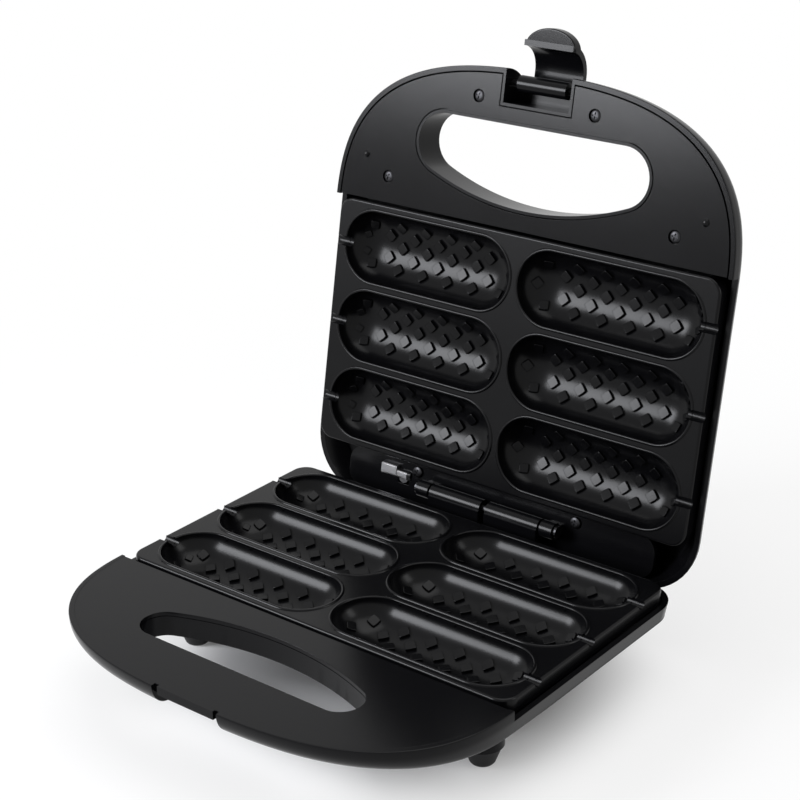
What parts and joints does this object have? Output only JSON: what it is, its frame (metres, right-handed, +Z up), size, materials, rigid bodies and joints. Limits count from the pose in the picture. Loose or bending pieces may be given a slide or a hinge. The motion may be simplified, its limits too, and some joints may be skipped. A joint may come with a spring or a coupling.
{
  "type": "corn dog maker",
  "caption": "Hinged electric corn dog maker with moulded non-stick plates, stick grooves, handles with finger holes and a swinging latch.",
  "frame": {"origin": "centre of the bounding box's underside, on the plane that the feet stand on", "axes": "+X along the hinge, +Y from the handle to the hinge, +Z up; the lid stands open"},
  "size_m": [0.234, 0.2807, 0.2853],
  "materials": {
    "housing_plastic": "satin black moulding",
    "panel_plastic": "satin black with a fine grain",
    "nonstick_coating": "black non-stick coating on cast aluminium",
    "plated_steel": "zinc plated",
    "shield_sheet": "plain rolled sheet",
    "heater_sheath": "dull heat-tinted tube",
    "rubber": "matt",
    "ceramic": "unglazed off-white",
    "wire_sleeving": "matt woven look",
    "red_lens": "clear tinted",
    "green_lens": "clear tinted"
  },
  "bodies": {
    "base": {"base_shell": "housing_plastic", "base_panel": "panel_plastic", "base_plate": "nonstick_coating", "base_heater": "heater_sheath", "base_heat_shield": "shield_sheet", "base_thermostat": "ceramic", "thermal_fuse": "ceramic", "terminal_block": "ceramic", "cord_gland": "rubber", "foot_front_left": "rubber", "foot_front_right": "rubber", "foot_rear_left": "rubber", "foot_rear_right": "rubber", "base_panel_screw_1": "plated_steel", "base_panel_screw_2": "plated_steel", "base_panel_screw_3": "plated_steel", "base_panel_screw_4": "plated_steel", "base_plate_screw_1": "plated_steel", "base_plate_screw_2": "plated_steel", "hinge_pin": "plated_steel"},
    "lid": {"lid_shell": "housing_plastic", "lid_panel": "panel_plastic", "lid_plate": "nonstick_coating", "lid_rear_band": "housing_plastic", "lid_heater": "heater_sheath", "lid_heat_shield": "shield_sheet", "lid_thermostat": "ceramic", "lid_panel_screw_1": "plated_steel", "lid_panel_screw_2": "plated_steel", "lid_panel_screw_3": "plated_steel", "lid_panel_screw_4": "plated_steel", "lid_band_screw_1": "plated_steel", "lid_band_screw_2": "plated_steel", "lid_plate_screw_1": "plated_steel", "lid_plate_screw_2": "plated_steel", "power_lamp": "red_lens", "ready_lamp": "green_lens", "wire_sleeve": "wire_sleeving", "latch_pin": "plated_steel"},
    "latch": {"latch": "housing_plastic"}
  },
  "joints": [
    {"name": "lid_hinge", "type": "hinge", "parent": "base", "child": "lid", "pos_m": [0, 0.0794, 0.05], "axis": [1, 0, 0], "range_deg": [0, 100.5]},
    {"name": "latch_pivot", "type": "hinge", "parent": "lid", "child": "latch", "pos_m": [0, 0.12599, 0.25748], "axis": [1, 0, 0], "range_deg": [0, 90]}
  ]
}
